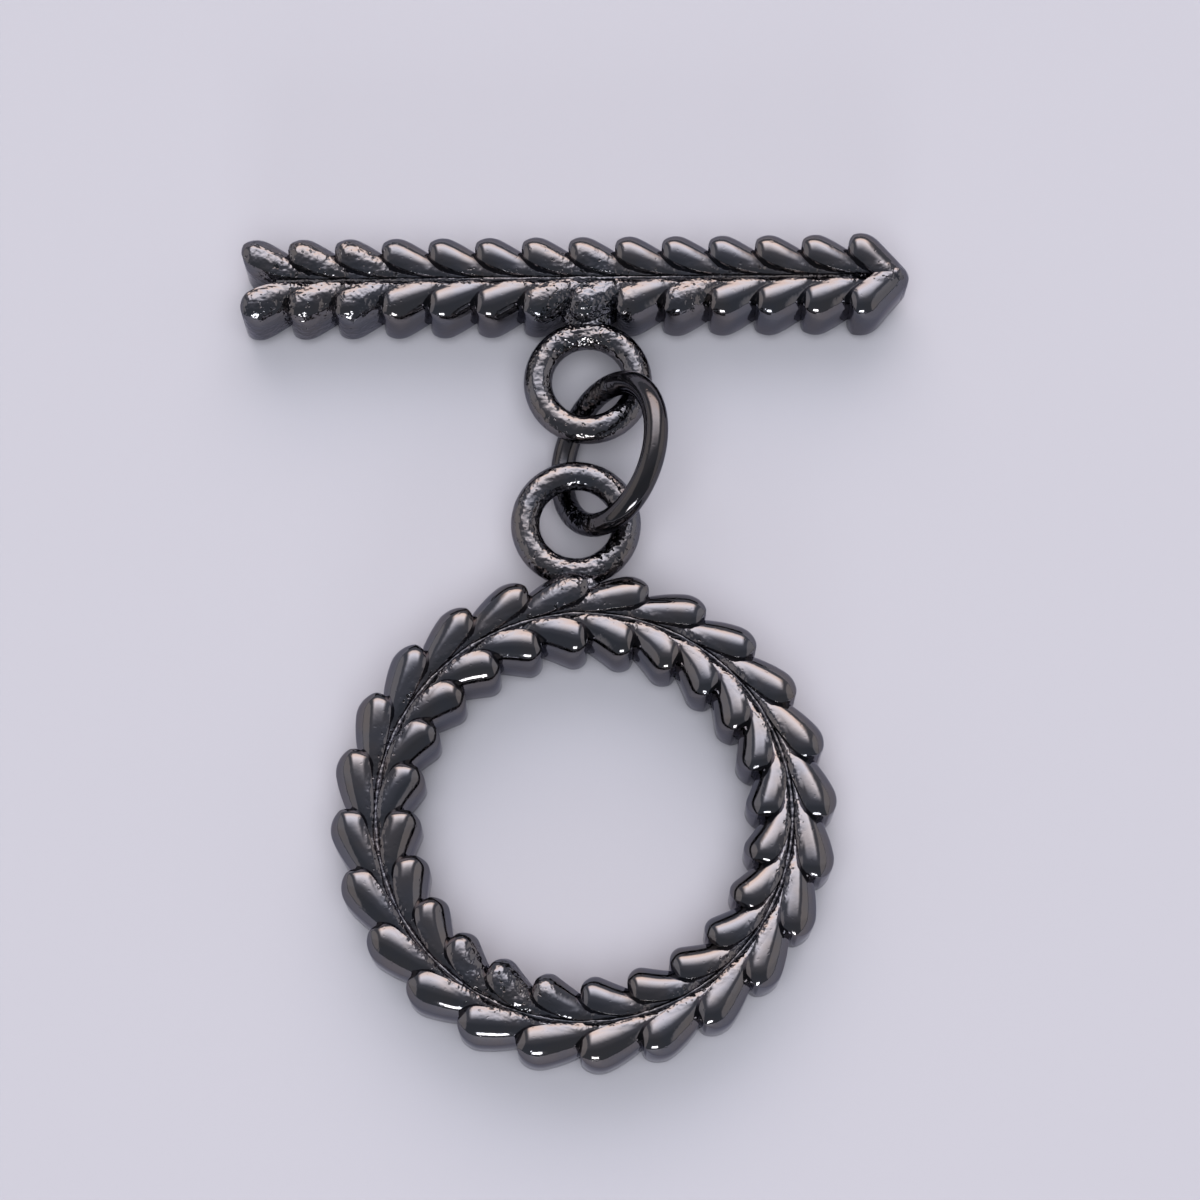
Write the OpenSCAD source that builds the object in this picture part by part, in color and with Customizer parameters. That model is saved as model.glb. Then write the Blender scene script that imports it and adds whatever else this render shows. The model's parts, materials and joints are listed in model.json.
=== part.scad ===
// Toggle clasp: a straight bar and a round toggle ring, each cast as a row of paired petals
// with a round wire eye, joined by one plain jump ring. It lies flat, +Z up, the bar at +Y.

/* [Petals] */
// Width of a petal across its bulb
petal_w = 1; // [0.8:0.01:1.1]
// Place of a petal's crest from its middle towards the stem, as a share of half its width
crest = 0.25; // [0:0.05:0.4]
// Fall of a petal's rounded top from its crest to its outer wall
dome_out = 0.45; // [0.3:0.01:0.7]
// Fall of the top from its crest to its inner wall
dome_in = 0.12; // [0.1:0.01:0.4]
// Fall of the crest over the end of the bulb
dome_end = 0.25; // [0.15:0.01:0.4]
// Length of a petal's curved spine, in steps of its row
spine_steps = 1.77; // [1.3:0.05:2.2]
// How strongly the spine curves away from the stem
spine_power = 1.7; // [1.4:0.01:1.8]
// Distance of a tail's tip from the stem line
tip_v = 0.08; // [0.08:0.01:0.12]
// How far the bulb's end is drawn out beyond a half circle
bulb_draw = 1.08; // [1:0.01:1.3]
// Depth of the valley along the stem, below the petals' tops
valley_d = 0.4; // [0.3:0.01:0.5]
// Depth of the stem itself, below the petals' tops
stem_d = 0.66; // [0.6:0.01:0.9]

/* [Toggle ring] */
// Full height of the ring's body
ring_h = 2.4; // [2:0.05:3]
// Pairs of petals round the ring
ring_pairs = 24; // [20:1:26]
// Radius of the stem line that the petals grow from
ring_stem_r = 5.86; // [5.2:0.02:6.8]
// Reach of a petal out of the stem line, on either side
ring_reach = 1.27; // [1.15:0.01:1.4]
// Half width of the solid stem under the petals
ring_stem_w = 0.66; // [0.5:0.01:0.8]
// Angle of the first pair of petals
ring_start = 4.2; // [0:0.1:15]

/* [Toggle bar] */
// Full height of the bar's body
bar_h = 2.3; // [2:0.05:3]
// Pairs of petals along the bar
bar_pairs = 14; // [8:1:18]
// Step from one pair to the next
bar_pitch = 1.38; // [1.2:0.01:1.55]
// Reach of a petal out of the stem line, on either side
bar_reach = 1.34; // [1.2:0.01:1.5]
// Half width of the solid stem under the petals
bar_stem_w = 0.68; // [0.5:0.01:0.85]
// Length of the last pair's straight petals, from their bulbs to the arrow tip
arrow_len = 1.26; // [1:0.02:1.5]
// Radius of the rounded arrow tip
arrow_r = 0.45; // [0.35:0.01:0.48]
// Width of the last pair's petals at the arrow tip
arrow_w = 0.84; // [0.6:0.01:0.86]
// Distance of their ends there from the stem line
arrow_v = 0.04; // [0.02:0.01:0.1]
// Fall of the last pair's ridges towards the arrow tip
arrow_fall = 0.14; // [0.05:0.01:0.3]
// Turn of the bar on the surface
bar_turn = 0.6; // [-2:0.1:2]

/* [Eyes] */
// Thickness of the eyes' round wire
eye_wire = 0.84; // [0.7:0.01:1]
// Hole of the eyes
eye_hole = 2.1; // [1.9:0.02:2.6]
// Place of the bar's eye along the bar, from the bar's middle
bar_eye_x = 0.37; // [-2:0.01:2]
// How far the bar's eye is sunk into the bar's wall
bar_eye_sink = 0.12; // [0:0.01:0.3]
// Half width of the solder that carries an eye
solder_w = 0.65; // [0.5:0.05:1.3]
// Place of the ring's eye across the ring, from the ring's middle
ring_eye_x = -0.25; // [-0.6:0.01:0.6]
// How far the ring's eye is sunk into the ring's petals
ring_eye_sink = 0.31; // [0.15:0.01:0.6]

/* [Jump ring] */
// Outer diameter of the jump ring
jump_d = 5; // [4.6:0.05:5.6]
// Thickness of its wire
jump_wire = 0.7; // [0.55:0.01:0.8]
// Lean of the jump ring from lying flat
jump_lean = 51.3; // [49:0.1:55]
// Turn of its axis on the surface
jump_turn = -6; // [-9:0.1:4]
// Place of the jump ring to the right of the bar's eye
jump_x = 0.6; // [0.5:0.01:0.75]
// How far its wire passes below the middle of the bar's eye
bar_eye_slack = 0.25; // [0.1:0.01:0.35]
// How far its wire passes below the middle of the ring's eye
ring_eye_slack = 0.19; // [0.05:0.01:0.3]
// Place of the ring's eye to the left of the bar's eye
eyes_apart_x = 0.345; // [0.2:0.005:0.5]
// Smallest gap between the jump ring and an eye
link_gap = 0.08; // [0.03:0.01:0.15]

/* [Hidden] */
bulb_r = petal_w / 2;
ring_pitch = 2 * PI * ring_stem_r / ring_pairs;
eye_r = (eye_hole + eye_wire) / 2;
jump_r = (jump_d - jump_wire) / 2;
// Share of the jump ring's rise that it has made where it passes under an eye's wire
rise_share = 0.325;
eye_z = jump_wire / 2 + rise_share * jump_r * sin(jump_lean)
    + ((jump_wire + eye_wire) / 2 + link_gap) * cos(jump_lean);

// Places on the surface: the bar's box is centred on X, the whole clasp on Y
bar_span = (bar_pairs - 1) * bar_pitch;
bar_left = -bulb_r * bulb_draw;
bar_right = bar_span + arrow_len;
bar_x0 = -(bar_left + bar_right) / 2;
eye_out = eye_r + eye_wire / 2;
bar_to_eye = bar_reach + eye_out - bar_eye_sink;
ring_to_eye = ring_stem_r + ring_reach + eye_out - ring_eye_sink;
eye_to_eye = 2 * jump_r + bar_eye_slack - ring_eye_slack;
bar_top = bar_reach + abs((bar_right - bar_left) / 2 * sin(bar_turn));
clasp_h = bar_top + bar_to_eye + eye_to_eye + ring_to_eye + ring_stem_r + ring_reach;
bar_y = clasp_h / 2 - bar_top;
bar_eye = [bar_eye_x, bar_y - bar_to_eye];
ring_eye = [bar_eye_x - eyes_apart_x, bar_eye.y - eye_to_eye];
ring_mid = [ring_eye.x - ring_eye_x, ring_eye.y - ring_to_eye];
jump_mid = [bar_eye_x + jump_x, bar_eye.y - bar_eye_slack - jump_r];

// Stations along a petal's spine from the tail's tip to the middle of the bulb, as shares:
// [way along the spine, half width over the bulb's, fall of the ridge over the valley's depth]
petal_stations = [
    [0.00, 0.08, 1.15],
    [0.40, 0.34, 1.00],
    [0.69, 0.81, 0.28],
    [1.00, 1.00, 0.00]
];
// Angles round the end of the bulb at which it has a station, and its closing one
bulb_angles = [42, 76];
// Points over a petal's top from the inner wall to the outer one: [way from the crest to the wall
// of that side, share of the fall on that side]
top_points = [[-1, 1], [-0.55, 0.3], [0.1, 0.01], [0.62, 0.38], [1, 1]];

// Place of a row's point, u along the row towards the bulbs and v out of the stem line
function on_ring(start, u, v) =
    let (a = start - u / ring_stem_r * 180 / PI)
    ring_mid + (ring_stem_r + v) * [cos(a), sin(a)];
function on_bar(start, u, v) =
    let (x = bar_x0 + start - u)
    [x * cos(bar_turn) - v * sin(bar_turn), bar_y + x * sin(bar_turn) + v * cos(bar_turn)];

// One section across a petal: its middle, its heading, its half width and its ridge's height
function section(mid, heading, half_w, mid_z, ridge, share) = [
    for (end = [1, -1], p = top_points)
    let (
        across = (p[0] * (p[0] > 0 ? 1 + crest : 1 - crest) - crest) * half_w,
        fall = (p[0] > 0 ? dome_out : dome_in) * share * p[1]
    )
    [
        mid.x - across * sin(heading), mid.y + across * cos(heading),
        mid_z + end * (ridge - fall)
    ]
];

// Sections of a petal in its row's own u and v, side 1 outward and -1 inward
function petal_sections(mid_z, out, len, bow, tip_v, tip_w, tip_fall) = concat(
    [
        for (st = petal_stations)
        let (
            s = st[0],
            share = max(st[1], tip_w),
            slope = atan2(bow * (out - tip_v) * pow(max(s, 0.01), bow - 1), len)
        )
        section([-len * (1 - s), tip_v + (out - tip_v) * pow(s, bow)], slope, bulb_r * share,
            mid_z, mid_z - valley_d * min(st[2], tip_fall), share)
    ],
    [
        for (a = bulb_angles)
        let (slope = atan2(bow * (out - tip_v), len), d = bulb_r * bulb_draw * sin(a))
        section([d * cos(slope), out + d * sin(slope)], slope, bulb_r * cos(a),
            mid_z, mid_z - dome_end * pow(sin(a), 2), cos(a))
    ]
);

// Solid between neighbouring sections of a petal, with the bulb as one rounded form
module petal(row, start, side, out, len, bow = spine_power, tip_v = tip_v, tip_w = 0, tip_fall = 2) {
    mid_z = (row == "ring" ? ring_h : bar_h) / 2;
    sections = [
        for (loop = petal_sections(mid_z, out, len, bow, tip_v, tip_w, tip_fall))
        [
            for (p = loop)
            let (q = row == "ring" ? on_ring(start, p.x, side * p.y) : on_bar(start, p.x, side * p.y))
            [q.x, q.y, p.z]
        ]
    ];
    last = len(petal_stations) - 2;
    for (i = [0 : last]) {
        pts = i < last
            ? concat(sections[i], sections[i + 1])
            : [for (j = [last : len(sections) - 1], p = sections[j]) p];
        hull() polyhedron(pts, [[for (k = [0 : len(pts) - 1]) k]]);
    }
}

// Round wire eye lying flat, its middle at eye_z
module wire_eye(place) {
    translate([place.x, place.y, eye_z])
        rotate_extrude($fn = 30)
            translate([eye_r, 0])
                circle(d = eye_wire, $fn = 10);
}

// Solder between an eye's wire and the stem of its body, which lies at the distance reach
module eye_solder(place, turn, reach) {
    translate([place.x, place.y, eye_z])
        rotate(turn)
            hull() {
                translate([0, eye_r, 0])
                    sphere(d = eye_wire, $fn = 10);
                for (side = [-1, 1])
                    translate([side * solder_w, reach, 0])
                        sphere(d = eye_wire, $fn = 10);
            }
}

module toggle_ring() {
    color("dimgray") {
        for (k = [0 : ring_pairs - 1], side = [1, -1])
            petal("ring", ring_start + k * 360 / ring_pairs, side,
                ring_reach - bulb_r, spine_steps * ring_pitch);
        translate([ring_mid.x, ring_mid.y, stem_d])
            rotate_extrude($fn = 2 * ring_pairs)
                translate([ring_stem_r - ring_stem_w, 0])
                    square([2 * ring_stem_w, ring_h - 2 * stem_d]);
        wire_eye(ring_eye);
        eye_solder(ring_eye, 180, ring_to_eye - ring_stem_r - ring_stem_w);
    }
}

// Stem of the bar from behind its first bulbs to the arrow tip
module bar_stem() {
    stem_h = bar_h - 2 * stem_d;
    translate([0, bar_y, stem_d])
        rotate(bar_turn)
            hull() {
                translate([bar_x0 + bulb_r, -bar_stem_w, 0])
                    cube([bar_span - bulb_r, 2 * bar_stem_w, stem_h]);
                translate([bar_x0 + bar_right - arrow_r, 0, 0])
                    cylinder(h = stem_h, r = arrow_r / 2, $fn = 16);
            }
}

// Round end of the arrow tip, domed like the petals that meet in it
module arrow_nose() {
    top = bar_h / 2 - arrow_fall;
    flank = [for (p = top_points) if (p[0] > 0) [p[0] * arrow_r, top - p[1] * dome_out * arrow_r / bulb_r]];
    translate([0, bar_y, bar_h / 2])
        rotate(bar_turn)
            translate([bar_x0 + bar_right - arrow_r, 0, 0])
                rotate_extrude($fn = 20)
                    polygon(concat(
                        [[0, top]], flank,
                        [for (i = [len(flank) - 1 : -1 : 0]) [flank[i].x, -flank[i].y]], [[0, -top]]
                    ));
}

module toggle_bar() {
    color("dimgray") {
        for (k = [0 : bar_pairs - 2], side = [1, -1])
            petal("bar", k * bar_pitch, side,
                bar_reach - bulb_r, spine_steps * bar_pitch);
        for (side = [1, -1])
            petal("bar", bar_span, side, bar_reach - bulb_r, arrow_len - arrow_r,
                bow = 1, tip_v = arrow_v, tip_w = arrow_w / petal_w, tip_fall = arrow_fall / valley_d);
        bar_stem();
        arrow_nose();
        wire_eye(bar_eye);
        eye_solder(bar_eye, 0, bar_to_eye - bar_stem_w);
    }
}

module jump_ring() {
    color("slategray")
        translate([jump_mid.x, jump_mid.y, jump_wire / 2 + jump_r * sin(jump_lean)])
            rotate(jump_turn)
                rotate([0, -jump_lean, 0])
                    rotate_extrude($fn = 64)
                        translate([jump_r, 0])
                            circle(d = jump_wire, $fn = 24);
}

toggle_bar();
jump_ring();
toggle_ring();
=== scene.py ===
"""Toggle clasp in polished gunmetal.

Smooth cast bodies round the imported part, their finishes, the light and the camera.
"""

import json
import math

import bmesh
import bpy
from mathutils import Matrix, Vector


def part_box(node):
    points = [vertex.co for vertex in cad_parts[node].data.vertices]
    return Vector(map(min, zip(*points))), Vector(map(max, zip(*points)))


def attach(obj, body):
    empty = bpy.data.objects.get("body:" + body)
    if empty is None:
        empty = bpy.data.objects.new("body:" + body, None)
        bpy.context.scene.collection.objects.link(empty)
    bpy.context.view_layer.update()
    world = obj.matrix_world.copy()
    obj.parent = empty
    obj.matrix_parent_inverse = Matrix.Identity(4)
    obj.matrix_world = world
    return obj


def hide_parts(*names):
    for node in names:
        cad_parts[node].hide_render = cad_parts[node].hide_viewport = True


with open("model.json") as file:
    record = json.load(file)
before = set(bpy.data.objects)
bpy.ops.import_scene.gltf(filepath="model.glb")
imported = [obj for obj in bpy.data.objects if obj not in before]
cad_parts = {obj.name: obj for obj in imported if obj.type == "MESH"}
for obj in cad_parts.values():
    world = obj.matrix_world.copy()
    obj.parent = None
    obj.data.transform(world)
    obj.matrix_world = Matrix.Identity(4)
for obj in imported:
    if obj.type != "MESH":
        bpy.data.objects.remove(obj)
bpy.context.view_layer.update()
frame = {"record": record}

# Sizes of the bodies, in millimetres and degrees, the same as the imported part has
PETAL_W = 1.0
CREST = 0.25
DOME_OUT = 0.45
DOME_IN = 0.12
DOME_END = 0.25
SPINE_STEPS = 1.77
SPINE_BOW = 1.7
TIP_V = 0.08
BULB_DRAW = 1.08
VALLEY_D = 0.4
STEM_D = 0.66

RING_H = 2.4
RING_PAIRS = 24
RING_STEM_R = 5.86
RING_REACH = 1.27
RING_STEM_W = 0.66
RING_START = 4.2

BAR_H = 2.3
BAR_PAIRS = 14
BAR_PITCH = 1.38
BAR_REACH = 1.34
BAR_STEM_W = 0.68
ARROW_LEN = 1.26
ARROW_R = 0.45
ARROW_W = 0.84
ARROW_V = 0.04
ARROW_FALL = 0.14
BAR_TURN = 0.6

EYE_WIRE = 0.84
EYE_HOLE = 2.1
BAR_EYE_SINK = 0.12
SOLDER_W = 0.65
RING_EYE_X = -0.25
RING_EYE_SINK = 0.31

JUMP_D = 5.0
JUMP_WIRE = 0.7
JUMP_LEAN = 51.3
JUMP_TURN = -6.0

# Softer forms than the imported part's: the petals' outer edges roll over, and a bulb's ridge falls late
EDGE_ROLL = 0.3
EDGE_POWER = 8
CAP_POWER = 2.6

# The low rib that the petals' tails leave along the stem: half its width, and its depth under the top
RIB_W = 0.2
RIB_D = 0.36

# Radius of the solder's lumps at the eye and at the stem, over the thickness of the eye's wire
SOLDER_NEAR = 0.42
SOLDER_FAR = 0.36

# How fine the bodies are
PETAL_STATIONS = 24
CAP_STATIONS = 12
SECTION_SIDES = 48
RIB_SIDES = 16
RING_STEPS = 120
EYE_SIDES = 32
EYE_STEPS = 72
SOLDER_LEVELS = 3
TIP_SIDES = 32
TIP_LEVELS = 25
JUMP_SIDES = 36
JUMP_STEPS = 160

# One millimetre, in metres
MM = 0.001

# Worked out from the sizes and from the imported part's two eyes
BULB_R = PETAL_W / 2
RING_PITCH = 2 * math.pi * RING_STEM_R / RING_PAIRS
EYE_R = (EYE_HOLE + EYE_WIRE) / 2
EYE_OUT = EYE_R + EYE_WIRE / 2
JUMP_R = (JUMP_D - JUMP_WIRE) / 2
BAR_SPAN = (BAR_PAIRS - 1) * BAR_PITCH
BAR_RIGHT = BAR_SPAN + ARROW_LEN
BAR_X0 = (BULB_R * BULB_DRAW - BAR_RIGHT) / 2
mounts = {m["name"]: Vector(m["pos_m"]) / MM for m in frame["record"]["mounts"]}
BAR_EYE = mounts["bar_eye"]
RING_EYE = mounts["ring_eye"]
BAR_TO_EYE = BAR_REACH + EYE_OUT - BAR_EYE_SINK
RING_TO_EYE = RING_STEM_R + RING_REACH + EYE_OUT - RING_EYE_SINK
BAR_Y = BAR_EYE.y + BAR_TO_EYE
RING_MID = Vector((RING_EYE.x - RING_EYE_X, RING_EYE.y - RING_TO_EYE, 0))
jump_low, jump_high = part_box("jump_ring")
JUMP_MID = (jump_low + jump_high) / 2 / MM

# Stations along a petal's spine, as shares: the way along, half the width over the bulb's, and the fall of
# the ridge over VALLEY_D
PETAL_TABLE = ((0.0, 0.08, 1.15), (0.4, 0.34, 1.0), (0.59, 0.66, 0.5), (0.74, 0.87, 0.24), (1.0, 1.0, 0.0))
TIP_WIDTH = ARROW_W / PETAL_W
TIP_FALL = ARROW_FALL / VALLEY_D
TIP_TABLE = ((0.0, TIP_WIDTH, TIP_FALL), (0.5, (1 + TIP_WIDTH) / 2, TIP_FALL * 0.4), (1.0, 1.0, 0.0))

# The spine's slope at its very tip is the one that it has this share of the way along
FIRST_WAY = 0.01


def eased(table, column, way):
    """A value of the table between its rows, on one smooth curve that comes to rest at the last row."""
    rises = [
        (b[column] - a[column]) / (b[0] - a[0])
        for a, b in zip(table, table[1:])
    ]
    slopes = [rises[0]] + [(a + b) / 2 for a, b in zip(rises, rises[1:])] + [0.0]
    for i, (a, b) in enumerate(zip(table, table[1:])):
        if way <= b[0]:
            break
    step = b[0] - a[0]
    t = (way - a[0]) / step
    return (
        (2 * t**3 - 3 * t**2 + 1) * a[column]
        + (t**3 - 2 * t**2 + t) * step * slopes[i]
        + (3 * t**2 - 2 * t**3) * b[column]
        + (t**3 - t**2) * step * slopes[i + 1]
    )


def on_ring(start, u, v):
    """Where a point of the ring's row lies: u along the row towards the bulbs, v out of the stem line."""
    a = math.radians(start) - u / RING_STEM_R
    return RING_MID.x + (RING_STEM_R + v) * math.cos(a), RING_MID.y + (RING_STEM_R + v) * math.sin(a)


def on_bar(start, u, v):
    """The same for the bar's row, whose bulbs point left."""
    turn = math.radians(BAR_TURN)
    x = BAR_X0 + start - u
    return x * math.cos(turn) - v * math.sin(turn), BAR_Y + x * math.sin(turn) + v * math.cos(turn)


def rounded(way):
    """Fall of a domed top, as a share, on the way from its crest to a wall: it rolls over at the end."""
    return way**2 + EDGE_ROLL * way**EDGE_POWER


def section_rim(bm, mid, heading, half_w, ridge, share):
    """One closed section across a petal, square to its heading, with upright walls and a leaning crest."""
    verts = bmesh.ops.create_circle(bm, segments=SECTION_SIDES, radius=1.0)["verts"]
    bmesh.ops.rotate(bm, verts=verts, matrix=Matrix.Rotation(math.pi / SECTION_SIDES, 3, "Z"))
    for v in verts:
        outer = v.co.x > 0
        dome, reach = (DOME_OUT * rounded(v.co.x), 1 + CREST) if outer else (DOME_IN * v.co.x**2, 1 - CREST)
        v.co.y = math.copysign(ridge - dome * share, v.co.y)
        v.co.x = (v.co.x * reach - CREST) * half_w
    c = math.cos(heading)
    s = math.sin(heading)
    stand = Matrix(((-s, 0, c, mid[0]), (c, 0, s, mid[1]), (0, 1, 0, 0), (0, 0, 0, 1)))
    bmesh.ops.transform(bm, matrix=stand, verts=verts)
    return list({e for v in verts for e in v.link_edges})


def petal_form(half_h, out, length, bow=SPINE_BOW, tip_v=TIP_V, table=PETAL_TABLE):
    """One petal in its row's own u, v and z: sections bridged from the tail's tip to the end of the bulb."""
    bm = bmesh.new()
    rims = []
    rise = out - tip_v
    for i in range(PETAL_STATIONS):
        way = i / (PETAL_STATIONS - 1)
        share = eased(table, 1, way)
        fall = eased(table, 2, way)
        slope = math.atan2(bow * rise * max(way, FIRST_WAY) ** (bow - 1), length)
        mid = (-length * (1 - way), tip_v + rise * way**bow)
        rims.append(section_rim(bm, mid, slope, BULB_R * share, half_h - VALLEY_D * fall, share))
    slope = math.atan2(bow * rise, length)
    for i in range(1, CAP_STATIONS):
        a = i / CAP_STATIONS * math.pi / 2
        d = BULB_R * BULB_DRAW * math.sin(a)
        mid = (d * math.cos(slope), out + d * math.sin(slope))
        share = math.cos(a)
        ridge = half_h - DOME_END * math.sin(a) ** CAP_POWER
        rims.append(section_rim(bm, mid, slope, BULB_R * share, ridge, share))
    for near, far in zip(rims, rims[1:]):
        bmesh.ops.bridge_loops(bm, edges=near + far)
    bmesh.ops.holes_fill(bm, edges=rims[0] + rims[-1], sides=0)
    mesh = bpy.data.meshes.new("petal_form")
    bm.to_mesh(mesh)
    bm.free()
    return mesh


def plant(bm, form, place, start, side, mid_z):
    """Adds a copy of a petal to a body, at its place along the row; side 1 is outward and -1 inward."""
    old_verts = len(bm.verts)
    bm.from_mesh(form)
    bm.verts.ensure_lookup_table()
    for v in bm.verts[old_verts:]:
        x, y = place(start, v.co.x, side * v.co.y)
        v.co = (x, y, mid_z + v.co.z)


def spun(bm, rim, middle, steps):
    """Sweeps a closed rim once round the upright line through a middle."""
    loop = list({e for v in rim for e in v.link_edges})
    bmesh.ops.spin(
        bm, geom=rim + loop, cent=middle, axis=(0, 0, 1), angle=2 * math.pi, steps=steps, use_merge=True
    )


def flat_round(bm, middle, radius, half_w, half_h, sides, steps):
    """Adds a round that lies flat about a middle, of round or oval section."""
    rim = bmesh.ops.create_circle(bm, segments=sides, radius=1.0)["verts"]
    stand = (
        Matrix.Translation(middle + Vector((radius, 0, 0)))
        @ Matrix.Rotation(math.pi / 2, 4, "X")
        @ Matrix.Diagonal((half_w, half_h, 1, 1))
    )
    bmesh.ops.transform(bm, matrix=stand, verts=rim)
    spun(bm, rim, middle, steps)


def wire_eye(bm, middle, turn, reach):
    """Adds a round wire eye that lies flat, and the solder from it to its body's stem."""
    flat_round(bm, middle, EYE_R, EYE_WIRE / 2, EYE_WIRE / 2, EYE_SIDES, EYE_STEPS)
    lumps = bmesh.new()
    places = ((0, EYE_R, SOLDER_NEAR), (SOLDER_W, reach, SOLDER_FAR), (-SOLDER_W, reach, SOLDER_FAR))
    for x, y, size in places:
        at = Matrix.Translation(middle) @ Matrix.Rotation(turn, 4, "Z") @ Matrix.Translation((x, y, 0))
        bmesh.ops.create_icosphere(lumps, subdivisions=SOLDER_LEVELS, radius=EYE_WIRE * size, matrix=at)
    add_hull(bm, lumps)


def add_hull(bm, forms):
    """Adds the hull round some forms to a body, without the forms' own edges and faces."""
    bmesh.ops.delete(forms, geom=forms.edges[:] + forms.faces[:], context="EDGES_FACES")
    hull = bmesh.ops.convex_hull(forms, input=forms.verts)
    inside = [g for g in hull["geom_interior"] if isinstance(g, bmesh.types.BMVert)]
    bmesh.ops.delete(forms, geom=inside, context="VERTS")
    mesh = bpy.data.meshes.new("hull")
    forms.to_mesh(mesh)
    forms.free()
    bm.from_mesh(mesh)


def body(bm, name):
    """Makes a body's forms one object, in metres, with each form's faces pointing outwards."""
    bm.normal_update()
    bmesh.ops.recalc_face_normals(bm, faces=bm.faces)
    bmesh.ops.scale(bm, verts=bm.verts, vec=(MM, MM, MM))
    return finished(bm, name)


def finished(bm, name):
    """Turns a bmesh into a smooth-shaded object of the scene, and prints its size."""
    for face in bm.faces:
        face.smooth = True
    mesh = bpy.data.meshes.new(name)
    bm.to_mesh(mesh)
    bm.free()
    piece = bpy.data.objects.new(name, mesh)
    bpy.context.scene.collection.objects.link(piece)
    print(name, len(mesh.polygons), "faces")
    return piece


def toggle_ring():
    """The round toggle ring: pairs of petals round a stem, and its eye at the top."""
    bm = bmesh.new()
    form = petal_form(RING_H / 2, RING_REACH - BULB_R, SPINE_STEPS * RING_PITCH)
    for k in range(RING_PAIRS):
        for side in (1, -1):
            plant(bm, form, on_ring, RING_START + k * 360 / RING_PAIRS, side, RING_H / 2)
    stem_h = RING_H - 2 * STEM_D
    corners = [
        bm.verts.new((RING_MID.x + RING_STEM_R + x * RING_STEM_W, RING_MID.y, STEM_D + z * stem_h))
        for x, z in ((-1, 0), (1, 0), (1, 1), (-1, 1))
    ]
    for i in range(4):
        bm.edges.new((corners[i - 1], corners[i]))
    spun(bm, corners, RING_MID, RING_STEPS)
    rib_mid = RING_MID + Vector((0, 0, RING_H / 2))
    flat_round(bm, rib_mid, RING_STEM_R, RIB_W, RING_H / 2 - RIB_D, RIB_SIDES, RING_STEPS)
    wire_eye(bm, RING_EYE, math.pi, RING_TO_EYE - RING_STEM_R - RING_STEM_W)
    return body(bm, "toggle_ring_cast")


def toggle_bar():
    """The straight bar: pairs of petals along a stem, the last ones straight, and its eye below."""
    bm = bmesh.new()
    form = petal_form(BAR_H / 2, BAR_REACH - BULB_R, SPINE_STEPS * BAR_PITCH)
    arrow = petal_form(BAR_H / 2, BAR_REACH - BULB_R, ARROW_LEN - ARROW_R, 1, ARROW_V, TIP_TABLE)
    for side in (1, -1):
        for k in range(BAR_PAIRS - 1):
            plant(bm, form, on_bar, k * BAR_PITCH, side, BAR_H / 2)
        plant(bm, arrow, on_bar, BAR_SPAN, side, BAR_H / 2)
    stem_h = BAR_H - 2 * STEM_D
    stem_len = BAR_SPAN - BULB_R
    turn = Matrix.Rotation(math.radians(BAR_TURN), 4, "Z")
    along = Matrix.Translation((0, BAR_Y, BAR_H / 2)) @ turn @ Matrix.Translation((BAR_X0, 0, 0))
    core = along @ Matrix.Translation(((BULB_R + BAR_SPAN) / 2, 0, 0))
    point = along @ Matrix.Translation((BAR_RIGHT - ARROW_R, 0, 0))
    stem = bmesh.new()
    block = core @ Matrix.Diagonal((stem_len, 2 * BAR_STEM_W, stem_h, 1))
    bmesh.ops.create_cube(stem, size=1.0, matrix=block)
    thin = ARROW_R / 2
    bmesh.ops.create_cone(
        stem, segments=TIP_SIDES, radius1=thin, radius2=thin, depth=stem_h, cap_ends=True, matrix=point
    )
    add_hull(bm, stem)
    rib = core @ Matrix.Rotation(math.pi / 2, 4, "Y") @ Matrix.Diagonal((BAR_H / 2 - RIB_D, RIB_W, 1, 1))
    bmesh.ops.create_cone(
        bm, segments=RIB_SIDES, radius1=1, radius2=1, depth=stem_len, cap_ends=True, matrix=rib
    )
    dome = DOME_OUT * ARROW_R / BULB_R
    nose = bmesh.ops.create_uvsphere(bm, u_segments=TIP_SIDES, v_segments=TIP_LEVELS, radius=ARROW_R)["verts"]
    for v in nose:
        v.co.z = math.copysign(BAR_H / 2 - ARROW_FALL - dome * rounded(v.co.xy.length / ARROW_R), v.co.z)
    bmesh.ops.transform(bm, matrix=point, verts=nose)
    wire_eye(bm, BAR_EYE, 0.0, BAR_TO_EYE - BAR_STEM_W)
    return body(bm, "toggle_bar_cast")


def jump_ring():
    """The jump ring: one round of plain wire, leaning in the two eyes."""
    bm = bmesh.new()
    flat_round(bm, Vector(), JUMP_R, JUMP_WIRE / 2, JUMP_WIRE / 2, JUMP_SIDES, JUMP_STEPS)
    lay = (
        Matrix.Translation(JUMP_MID)
        @ Matrix.Rotation(math.radians(JUMP_TURN), 4, "Z")
        @ Matrix.Rotation(-math.radians(JUMP_LEAN), 4, "Y")
    )
    bmesh.ops.transform(bm, matrix=lay, verts=bm.verts)
    return body(bm, "jump_ring_wire")


class Value:
    """A number that a node gives, so that sums of such numbers can be written as they are."""

    def __init__(self, nodes, socket):
        self.nodes = nodes
        self.socket = socket

    def sum(self, operation, first, second):
        return self.nodes.node("Math", {"operation": operation}, {0: first, 1: second})

    def __add__(self, other):
        return self.sum("ADD", self, other)

    def __sub__(self, other):
        return self.sum("SUBTRACT", self, other)

    def __rsub__(self, other):
        return self.sum("SUBTRACT", other, self)

    def __mul__(self, other):
        return self.sum("MULTIPLY", self, other)

    __radd__ = __add__
    __rmul__ = __mul__


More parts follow.
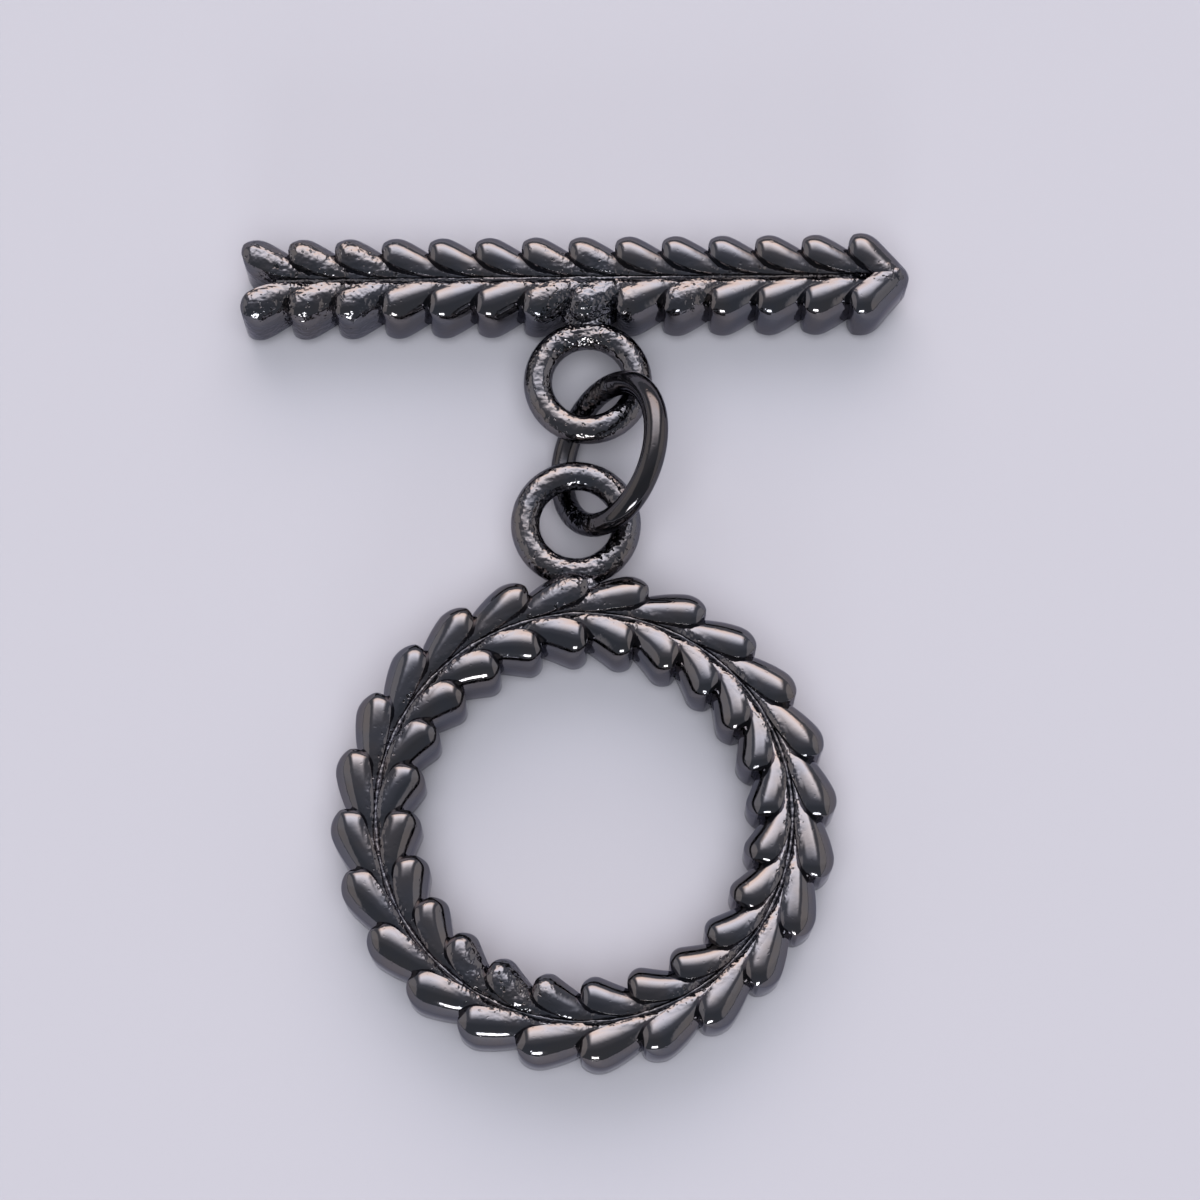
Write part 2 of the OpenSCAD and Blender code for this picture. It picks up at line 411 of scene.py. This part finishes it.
class Nodes:
    """A node tree, to which node() adds any node."""

    def __init__(self, tree):
        self.tree = tree
        tree.nodes.clear()

    def node(self, kind, settings=None, feeds=None, give=0):
        made = self.tree.nodes.new("ShaderNode" + kind)
        for name, setting in (settings or {}).items():
            setattr(made, name, setting)
        for name, feed in (feeds or {}).items():
            if isinstance(feed, Value):
                self.tree.links.new(feed.socket, made.inputs[name])
            else:
                made.inputs[name].default_value = feed
        return Value(self, made.outputs[give]) if made.outputs else made

    def absolute(self, value):
        return self.node("Math", {"operation": "ABSOLUTE"}, {0: value})

    def distance(self, first, second):
        return self.node("VectorMath", {"operation": "DISTANCE"}, {0: first, 1: second}, give="Value")

    def noise(self, where, scale, detail):
        return self.node("TexNoise", None, {"Vector": where, "Scale": scale, "Detail": detail})

    def stepped(self, value, low, high):
        """0 below low, 1 above high and a soft rise between, or a fall where low is the higher."""
        feeds = {"Value": value, "From Min": low, "From Max": high}
        return self.node("MapRange", {"interpolation_type": "SMOOTHSTEP"}, feeds)

    def mixed(self, share, first, second):
        """A colour between two, by a share."""
        return self.node("Mix", {"data_type": "RGBA"}, {"Factor": share, 6: first, 7: second}, give=2)


# The gunmetal's greys, the painted shade of its pits and the tint of its edges
WARM_GREY = (0.162, 0.152, 0.154)
COLD_GREY = (0.144, 0.146, 0.162)
PIT_SHADE_GREY = (0.06, 0.06, 0.065, 1)
EDGE_TINT = (0.6, 0.6, 0.65, 1)
WIRE_SHADE = 0.55

# Its noises: scale and detail of each, and the values between which each sets in
CLOUDS = (900.0, 3.0)
CLOUD_EDGES = (0.35, 0.65)
DENTS = (4800.0, 1.5)
PITS = (6500.0, 1.0)
PIT_EDGES = (0.66, 0.76)

# How deep a dent is, in metres, a pit over a dent, and the roughness at the least and what a cloud adds
DENT_DEPTH = 0.000045
PIT_SHARE = 0.5
SMOOTH = 0.05
CLOUD_ROUGH = 0.06

# How much of the raw casting shows everywhere and how much more on the seam, how far to each side of
# its line the seam reaches in millimetres, and the inner share of a seam or a place that shows in full
SKIN = 0.08
SEAM_SKIN = 0.85
SEAM_W = 0.36
SEAM_CORE = 0.4
PLACE_CORE = 0.5


def off_bar(n, where):
    """How far a place is from the middle line of the bar."""
    turn = math.radians(BAR_TURN)
    aside = (-math.sin(turn), math.cos(turn), 0)
    across = n.node("VectorMath", {"operation": "DOT_PRODUCT"}, {0: where, 1: aside}, give="Value")
    return n.absolute(across - BAR_Y * math.cos(turn) * MM)


def off_ring(n, where):
    """How far a place is from the stem line of the ring."""
    flat = n.node("VectorMath", {"operation": "MULTIPLY"}, {0: where, 1: (1, 1, 0)})
    return n.absolute(n.distance(flat, RING_MID * MM) - RING_STEM_R * MM)


def finish(name):
    """A new material, and its empty node tree."""
    material = bpy.data.materials.new(name)
    material.use_nodes = True
    return material, Nodes(material.node_tree)


def gunmetal(name, rough_places, off_seam=None, shade=1.0):
    """Polished gunmetal plating, dented and pitted like a raw casting on its seam and in some places, with
    painted shade darkening the pits.
    """
    material, n = finish(name)
    where = n.node("TexCoord", give="Object")
    cloud = n.noise(where, *CLOUDS)
    dents = n.noise(where, *DENTS)
    pits = n.stepped(n.noise(where, *PITS), *PIT_EDGES)
    skin = SKIN
    if off_seam:
        skin = SKIN + SEAM_SKIN * n.stepped(off_seam(n, where), SEAM_W * MM, SEAM_W * SEAM_CORE * MM)
    for place, radius in rough_places:
        far = n.distance(where, [c * MM for c in place])
        skin = n.stepped(far, radius * MM, radius * PLACE_CORE * MM) + skin
    warm, cold = ([c * shade for c in grey] + [1] for grey in (WARM_GREY, COLD_GREY))
    tint = n.mixed(n.stepped(cloud, *CLOUD_EDGES), warm, cold)
    relief = (dents - PIT_SHARE * pits) * skin
    # The pits' darker base colour is painted shade in the recesses, strongest along the seam in the valley
    # and round the rough places
    shader = {
        "Base Color": n.mixed(pits * skin, tint, PIT_SHADE_GREY),
        "Metallic": 1.0,
        "Roughness": SMOOTH + CLOUD_ROUGH * cloud,
        "Specular Tint": EDGE_TINT,
        "Normal": n.node("Bump", None, {"Strength": 1.0, "Distance": DENT_DEPTH, "Height": relief}),
    }
    surface = n.node("BsdfPrincipled", None, shader)
    n.node("OutputMaterial", None, {"Surface": surface})
    return material


def dress(piece, material, node_name):
    """Gives a piece its finish, and lets it stand for its CAD node."""
    piece.data.materials.clear()
    piece.data.materials.append(material)
    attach(piece, "root")
    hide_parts(node_name)


# Camera, as fitted to the photograph, with its clip distances in metres
CAMERA_TILT = math.radians(16.0)
CAMERA_FAR = 92.5 * MM
LOOK_AT = Vector((0.725, 1.24, 1.2)) * MM
FOCAL_PX = 3200.0
FRAME_PX = 1200.0
SENSOR = 36.0
CLIP_NEAR = 0.005
CLIP_FAR = 10.0

# Floor: half its width in metres, and its finish
FLOOR_HALF = 3.0
FLOOR_GREY = (0.301, 0.301, 0.340, 1)
FLOOR_ROUGH = 0.7

# Wide soft light. Its tilt is 0 degrees overhead, 90 at the back and below 0 in front, and aside runs to 1.
# Each pair is where the light sets in and where it is full.
SOFT_FRONT = (-4.0, 54.0)
SOFT_BACK = (77.0, 67.0)
SOFT_ASIDE = (0.60, 0.36)
SOFT_STRENGTH = 4.1
SOFT_WHITE = (1.0, 0.95, 0.97, 1)
SOFT_AMBER = (1.0, 0.78, 0.66, 1)
SOFT_BLUE = (0.80, 0.85, 1.0, 1)
AMBER_EDGES = (40.0, 72.0)
BLUE_EDGES = (-20.0, 30.0)

# Faint light of the room, less of it in front and more at the back and in the panels at the sides
FILL = 0.34
FILL_FRONT = 0.12
FILL_BACK = 0.05
FILL_SIDE = 0.42
FILL_BLUE = (0.85, 0.87, 1.0, 1)
FRONT_BLUE = (0.80, 0.86, 1.0, 1)
SIDE_WHITE = (0.97, 0.92, 0.93, 1)
FRONT_EDGES = (0.0, -35.0)
BACK_EDGES = (70.0, 80.0)
SIDE_EDGES = (0.71, 0.77)
SIDE_FOOT = (0.02, 0.08)

# Lights, with places and sizes in metres
STRIP_PLACE = (0.0, -0.5, 0.14)
STRIP_ENERGY = 0.8
STRIP_W = 0.2
STRIP_H = 0.09
OVERHEAD_PLACE = (0.0, -0.35, 1.0)
OVERHEAD_ENERGY = 3.5
OVERHEAD_ANGLE = math.radians(52)


def camera():
    """The camera over the clasp, leaning back towards the ring's side."""
    data = bpy.data.cameras.new("camera")
    data.sensor_width = SENSOR
    data.lens = FOCAL_PX / FRAME_PX * SENSOR
    data.clip_start = CLIP_NEAR
    data.clip_end = CLIP_FAR
    made = bpy.data.objects.new("camera", data)
    back = Vector((0, -math.sin(CAMERA_TILT), math.cos(CAMERA_TILT)))
    made.location = LOOK_AT + CAMERA_FAR * back
    made.rotation_euler = (CAMERA_TILT, 0, 0)
    bpy.context.scene.collection.objects.link(made)
    bpy.context.scene.camera = made


def floor():
    """A plain pale floor, wide enough to be seen in every wall of the metal."""
    bm = bmesh.new()
    bmesh.ops.create_grid(bm, x_segments=1, y_segments=1, size=FLOOR_HALF)
    ground = finished(bm, "floor")
    material, n = finish("pale_floor")
    surface = n.node("BsdfPrincipled", None, {"Base Color": FLOOR_GREY, "Roughness": FLOOR_ROUGH})
    n.node("OutputMaterial", None, {"Surface": surface})
    ground.data.materials.append(material)


def studio():
    """Soft studio light: a wide one high behind the clasp, panels at the sides, and dark between them."""
    world = bpy.data.worlds.new("studio")
    world.use_nodes = True
    bpy.context.scene.world = world
    n = Nodes(world.node_tree)
    heading = n.node("TexCoord", give="Generated")
    parts = n.node("SeparateXYZ", None, {0: heading})
    x, y, z = (Value(n, parts.socket.node.outputs[i]) for i in range(3))
    tilt = n.node("Math", {"operation": "ARCTAN2"}, {0: y, 1: z}) * (180 / math.pi)
    aside = n.absolute(x)
    soft = n.stepped(tilt, *SOFT_FRONT) * n.stepped(tilt, *SOFT_BACK) * n.stepped(aside, *SOFT_ASIDE)
    tone = n.mixed(n.stepped(tilt, *AMBER_EDGES), SOFT_WHITE, SOFT_AMBER)
    tone = n.mixed(n.stepped(tilt, *BLUE_EDGES), SOFT_BLUE, tone)
    glow = n.node("Background", None, {"Color": tone, "Strength": soft * SOFT_STRENGTH})
    front = n.stepped(tilt, *FRONT_EDGES)
    back = n.stepped(tilt, *BACK_EDGES)
    side = n.stepped(aside, *SIDE_EDGES) * n.stepped(z, *SIDE_FOOT)
    shade = n.mixed(side, n.mixed(front, FILL_BLUE, FRONT_BLUE), SIDE_WHITE)
    strength = FILL - FILL_FRONT * front + FILL_BACK * back + FILL_SIDE * side
    fill = n.node("Background", None, {"Color": shade, "Strength": strength})
    both = n.node("AddShader", None, {0: glow, 1: fill})
    n.node("OutputWorld", None, {"Surface": both})


def lamp(name, kind, place, energy, **settings):
    """A light that shines from its place at the clasp and isn't seen by the camera."""
    data = bpy.data.lights.new(name, kind)
    data.energy = energy
    for key, setting in settings.items():
        setattr(data, key, setting)
    made = bpy.data.objects.new(name, data)
    made.location = place
    made.rotation_euler = (-made.location).to_track_quat("-Z", "Y").to_euler()
    made.visible_camera = False
    bpy.context.scene.collection.objects.link(made)
    return made


def lamps():
    """A low strip in front gives the crisp white specks, and a broad light overhead whitens the floor."""
    lamp("front_light", "AREA", STRIP_PLACE, STRIP_ENERGY, shape="RECTANGLE", size=STRIP_W, size_y=STRIP_H)
    overhead = lamp("overhead_light", "SUN", OVERHEAD_PLACE, OVERHEAD_ENERGY, angle=OVERHEAD_ANGLE)
    overhead.visible_glossy = False


camera()
floor()
studio()
lamps()
bpy.context.scene.view_settings.view_transform = "Standard"

# Where the casting shows rough: the middle of each place and how far it reaches, in millimetres
BAR_ROUGH = (
    ((-8.0, BAR_Y, BAR_H), 3.4),
    ((0.2, BAR_Y - 0.8, BAR_H), 2.0),
    ((3.4, BAR_Y - 0.6, BAR_H), 0.9),
    (BAR_EYE, 2.6),
    ((BAR_EYE.x, BAR_EYE.y + EYE_R + 0.5, BAR_EYE.z), 1.5),
)
RING_ROUGH = (
    (RING_EYE, 2.6),
    ((RING_EYE.x, RING_EYE.y - EYE_R - 0.5, RING_EYE.z), 1.5),
    ((RING_MID.x - 2.1, RING_MID.y - 4.4, RING_H), 1.8),
)
WIRE_ROUGH = ((BAR_EYE, 1.4), (RING_EYE, 1.4))
bar_finish = gunmetal("gunmetal_bar_finish", BAR_ROUGH, off_bar)
wire_finish = gunmetal("gunmetal_wire_finish", WIRE_ROUGH, shade=WIRE_SHADE)
ring_finish = gunmetal("gunmetal_ring_finish", RING_ROUGH, off_ring)
dress(toggle_bar(), bar_finish, "toggle_bar")
dress(jump_ring(), wire_finish, "jump_ring")
dress(toggle_ring(), ring_finish, "toggle_ring")
